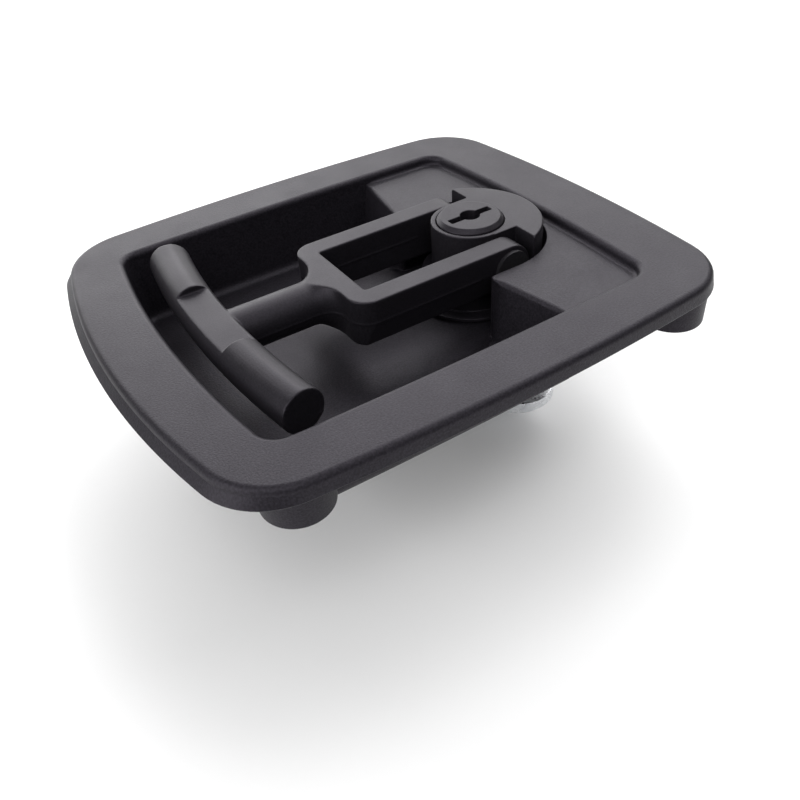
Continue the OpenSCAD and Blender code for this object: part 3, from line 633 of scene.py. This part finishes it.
def make_pan():
    recess = Outline(
        RECESS_GRIP_X, RECESS_ROTOR_X, RECESS_W / 2,
        RECESS_GRIP_BOW, RECESS_ROTOR_BOW, RECESS_SIDE_BOW, RECESS_CORNER,
    )
    pan = make_tray(recess)
    bottom = UNDER_Z - 1
    for side in (-1, 1):
        low, high = hollow_outline(side, bottom), hollow_outline(side, HOLLOW_TOP_Z)
        combine(pan, prism("hollow", low, high, bottom, HOLLOW_TOP_Z), "DIFFERENCE")
    inner = (POCKET_R + HOUSING_R) / 2
    housing = [
        (inner, HOLLOW_TOP_Z + 1),
        (inner, UNDER_Z + HOUSING_STEP),
        *rim_profile(HOUSING_R, UNDER_Z + HOUSING_STEP, HOLLOW_TOP_Z + 1),
    ]
    combine(pan, sector("housing", housing, ROTOR_X, 0, -HOUSING_TURN, HOUSING_TURN, 72), "UNION")
    bearing = rim_profile(BEARING_R, PAN_LO.z, UNDER_Z + 1)
    combine(pan, lathe("bearing", bearing, ROTOR_X, 0), "UNION")
    well_plan = [recess.point(i, BOSS_LAP) for i in range(len(recess.spots))]
    for x in (-BOSS_X, BOSS_X):
        for y in (-BOSS_Y, BOSS_Y):
            boss = lathe("boss", rim_profile(BOSS_R, -BOSS_H, 1), x, y)
            combine(boss, prism("well", well_plan, well_plan, -BOSS_H - 1, FLANGE_T), "DIFFERENCE")
            combine(pan, boss, "UNION")
            hole = [
                (BOSS_HOLE_R + RIM_ROUND, -BOSS_H - 1),
                (BOSS_HOLE_R + RIM_ROUND, -BOSS_H),
                (BOSS_HOLE_R, -BOSS_H + RIM_ROUND),
                (BOSS_HOLE_R, BOSS_HOLE_TOP),
            ]
            combine(pan, lathe("boss_hole", hole, x, y, 32), "DIFFERENCE")
    bush_seat = BUSH_HI.z - BUSH_FLANGE_T
    bore = [
        (BUSH_R, PAN_LO.z - 1), (BUSH_R, bush_seat),
        (BUSH_HI.y, bush_seat), (BUSH_HI.y, WELL_FLOOR_Z + 1),
    ]
    combine(pan, lathe("bush_bore", bore, ROTOR_X, 0), "DIFFERENCE")
    stop_x = (STOP_LO.x + STOP_HI.x) / 2
    stop_hole = [(STOP_R, UNDER_Z - 1), (STOP_R, WELL_FLOOR_Z + 1)]
    combine(pan, lathe("stop_hole", stop_hole, stop_x, 0, 32), "DIFFERENCE")
    for turn in KEEPER_TURNS:
        plan = keeper_outline(turn)
        keeper = prism("keeper", plan, plan, BOLT_LO.z - KEEPER_GAP, BOLT_HI.z + KEEPER_GAP)
        combine(pan, keeper, "DIFFERENCE")
    smooth(pan)
    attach(pan, "pan")
    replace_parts(pan, "pan")


# Materials

def new_material(name, colour, roughness, metallic=0.0):
    material = bpy.data.materials.new(name)
    material.use_nodes = True
    shader = material.node_tree.nodes["Principled BSDF"]
    shader.inputs["Base Color"].default_value = (*colour, 1)
    shader.inputs["Roughness"].default_value = roughness
    shader.inputs["Metallic"].default_value = metallic
    return material, shader


def object_noise(material, size, detail, stretch=(1, 1, 1)):
    """Noise with features of about a size in millimetres, fixed to the object."""
    nodes, links = material.node_tree.nodes, material.node_tree.links
    coordinates = nodes.new("ShaderNodeTexCoord")
    mapping = nodes.new("ShaderNodeMapping")
    mapping.inputs["Scale"].default_value = stretch
    noise = nodes.new("ShaderNodeTexNoise")
    noise.inputs["Scale"].default_value = 1 / (size * MM)
    noise.inputs["Detail"].default_value = detail
    links.new(coordinates.outputs["Object"], mapping.inputs["Vector"])
    links.new(mapping.outputs["Vector"], noise.inputs["Vector"])
    return noise.outputs["Fac"]


def spread_over(material, source, socket, low, high):
    """Maps noise to a range of values on a shader's socket."""
    ramp = material.node_tree.nodes.new("ShaderNodeMapRange")
    ramp.inputs["From Min"].default_value = 0.3
    ramp.inputs["From Max"].default_value = 0.7
    ramp.inputs["To Min"].default_value = low
    ramp.inputs["To Max"].default_value = high
    material.node_tree.links.new(source, ramp.inputs["Value"])
    material.node_tree.links.new(ramp.outputs["Result"], socket)


def colour_between(material, source, socket, dark, light):
    ramp = material.node_tree.nodes.new("ShaderNodeValToRGB")
    ramp.color_ramp.elements[0].position = 0.35
    ramp.color_ramp.elements[0].color = (*dark, 1)
    ramp.color_ramp.elements[1].position = 0.65
    ramp.color_ramp.elements[1].color = (*light, 1)
    material.node_tree.links.new(source, ramp.inputs["Fac"])
    material.node_tree.links.new(ramp.outputs["Color"], socket)


def bump(material, shader, source, height, strength=1.0):
    node = material.node_tree.nodes.new("ShaderNodeBump")
    node.inputs["Strength"].default_value = strength
    node.inputs["Distance"].default_value = height * MM
    material.node_tree.links.new(source, node.inputs["Height"])
    material.node_tree.links.new(node.outputs["Normal"], shader.inputs["Normal"])


def powder_coat(name, dark, light, roughness, grain, height):
    """Black powder coat: fine grain, and a slow drift of tone and gloss."""
    material, shader = new_material(name, dark, roughness)
    shader.inputs["Specular IOR Level"].default_value = 0.28
    shader.inputs["Specular Tint"].default_value = (0.93, 0.86, 1.0, 1)
    speckle = object_noise(material, grain * 1.3, 2)
    colour_between(material, speckle, shader.inputs["Base Color"], dark, light)
    spread_over(
        material, object_noise(material, 9, 3), shader.inputs["Roughness"],
        roughness - 0.03, roughness + 0.03,
    )
    bump(material, shader, object_noise(material, grain, 2), height)
    return material


def plated(name, dark, light, roughness, grain):
    """Bright plate with fine brush marks and a slow drift of tone."""
    material, shader = new_material(name, light, roughness, 1.0)
    colour_between(material, object_noise(material, 3, 3), shader.inputs["Base Color"], dark, light)
    spread_over(
        material, object_noise(material, 1.2, 3), shader.inputs["Roughness"],
        roughness - 0.06, roughness + 0.08,
    )
    bump(material, shader, object_noise(material, grain, 2, (1, 1, 12)), 0.01, 0.4)
    return material


def moulded(name, dark, light, roughness, grain):
    """Plain plastic or rubber with a matte grain."""
    material, shader = new_material(name, light, roughness)
    colour_between(material, object_noise(material, 2, 3), shader.inputs["Base Color"], dark, light)
    bump(material, shader, object_noise(material, grain, 2), 0.01, 0.5)
    return material


def make_materials():
    return {
        "coat": powder_coat(
            "coat", (0.0058, 0.0052, 0.0068), (0.0165, 0.0148, 0.019), 0.47, 0.34, 0.06
        ),
        "satin_coat": powder_coat(
            "satin_coat", (0.0075, 0.0068, 0.0085), (0.014, 0.0127, 0.0158), 0.44, 0.3, 0.018
        ),
        "zinc": plated("zinc", (0.62, 0.63, 0.66), (0.80, 0.81, 0.83), 0.28, 0.2),
        "steel": plated("steel", (0.40, 0.41, 0.43), (0.56, 0.57, 0.59), 0.34, 0.2),
        "black_steel": powder_coat(
            "black_steel", (0.012, 0.0115, 0.013), (0.02, 0.019, 0.021), 0.4, 0.3, 0.012
        ),
        "brass": plated("brass", (0.58, 0.40, 0.16), (0.76, 0.56, 0.26), 0.32, 0.2),
        "nylon": moulded("nylon", (0.62, 0.60, 0.54), (0.72, 0.70, 0.64), 0.5, 0.3),
        "rubber": moulded("rubber", (0.016, 0.016, 0.017), (0.024, 0.024, 0.025), 0.7, 0.25),
    }


# Nodes that the photographed lock has blackened
BLACKENED = {"pivot_pins": "black_steel"}


def finish_pieces(materials):
    """Gives every node and every piece that stands for one the finish of its slot, or the finish that
    BLACKENED lists for it.
    """
    slots = {row["node"]: row["material_slot"] for row in frame["record"]["subparts"]}
    stand_ins = {
        node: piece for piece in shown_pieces() for node in piece.get("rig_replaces", [])
    }
    for node, slot in slots.items():
        piece = stand_ins.get(node, frame["nodes"][node])
        piece.data.materials.clear()
        piece.data.materials.append(materials[BLACKENED.get(node, slot)])


# Stage, light and camera

# Half the floor's side and its distance below the part, in metres
FLOOR_HALF = 0.8
FLOOR_GAP = 0.0002


def make_floor():
    mesh = bpy.data.meshes.new("floor")
    z = CAD_BOX[0].z - FLOOR_GAP
    h = FLOOR_HALF
    corners = [(-h, -h, z), (h, -h, z), (h, h, z), (-h, h, z)]
    mesh.from_pydata(corners, [], [(0, 1, 2, 3)])
    floor = bpy.data.objects.new("floor", mesh)
    bpy.context.scene.collection.objects.link(floor)
    material, shader = new_material("floor", (0.9, 0.9, 0.9), 0.6)
    shader.inputs["Specular IOR Level"].default_value = 0.2
    mesh.materials.append(material)
    floor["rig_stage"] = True


def add_softbox(name, place, power):
    """A square softbox that faces the part."""
    light = bpy.data.lights.new(name, "AREA")
    light.shape = "RECTANGLE"
    light.size = SOFTBOX_SIZE
    light.size_y = SOFTBOX_SIZE
    light.energy = power
    lamp = bpy.data.objects.new(name, light)
    bpy.context.scene.collection.objects.link(lamp)
    lamp.location = place
    lamp.rotation_mode = "QUATERNION"
    lamp.rotation_quaternion = (-Vector(place)).to_track_quat("-Z", "Y")


# Light that the sky gives, and how bright it is behind the floor's edge
SKY_LIGHT = 0.03
SKY_SEEN = 1.0

# Side of a softbox in metres
SOFTBOX_SIZE = 0.8

# Softboxes a metre away: name, turn from the front and rise in degrees, power in watts
SOFTBOXES = [
    ("back", 180, 20, 6.6),
    ("back_right", 135, 20, 3.2),
    ("left", 270, 20, 6.4),
    ("high_front", 0, 50, 1.8),
    ("high_right", 90, 50, 4.6),
    ("high_back_right", 135, 50, 5.4),
    ("high_back", 180, 50, 1.6),
    ("high_front_left", 315, 50, 3.4),
]


def make_lights():
    world = bpy.data.worlds.new("studio")
    world.use_nodes = True
    sky = world.node_tree.nodes["Background"]
    sky.inputs["Color"].default_value = (1, 1, 1, 1)
    nodes, links = world.node_tree.nodes, world.node_tree.links
    strength = nodes.new("ShaderNodeMapRange")
    strength.inputs["To Min"].default_value = SKY_LIGHT
    strength.inputs["To Max"].default_value = SKY_SEEN
    links.new(nodes.new("ShaderNodeLightPath").outputs["Is Camera Ray"], strength.inputs["Value"])
    links.new(strength.outputs["Result"], sky.inputs["Strength"])
    bpy.context.scene.world = world
    for name, turn, rise, power in SOFTBOXES:
        a, e = math.radians(turn), math.radians(rise)
        place = (math.cos(e) * math.sin(a), -math.cos(e) * math.cos(a), math.sin(e))
        add_softbox(name, place, power)


def make_camera():
    data = bpy.data.cameras.new("camera")
    data.sensor_width = VIEW_SENSOR
    data.lens = VIEW_LENS
    data.clip_start = 0.01
    camera = bpy.data.objects.new("camera", data)
    bpy.context.scene.collection.objects.link(camera)
    level = math.cos(VIEW_ELEVATION)
    back = Vector((
        math.sin(VIEW_AZIMUTH) * level,
        -math.cos(VIEW_AZIMUTH) * level,
        math.sin(VIEW_ELEVATION),
    ))
    camera.location = (VIEW_TARGET + back * VIEW_DISTANCE) * MM
    camera.rotation_mode = "QUATERNION"
    roll = Quaternion((0, 0, 1), -VIEW_ROLL)
    camera.rotation_quaternion = (-back).to_track_quat("-Z", "Y") @ roll
    bpy.context.scene.camera = camera


make_camera()
make_floor()
make_lights()
make_pan()
raise_seam(softened("t_handle", 0.22, 6))
softened("rotor", 0.2, 4)
softened("lock_plug", 0.12, 3)
softened("cam", 0.2, 3)
finish_pieces(make_materials())
bpy.context.scene.view_settings.view_transform = "Standard"
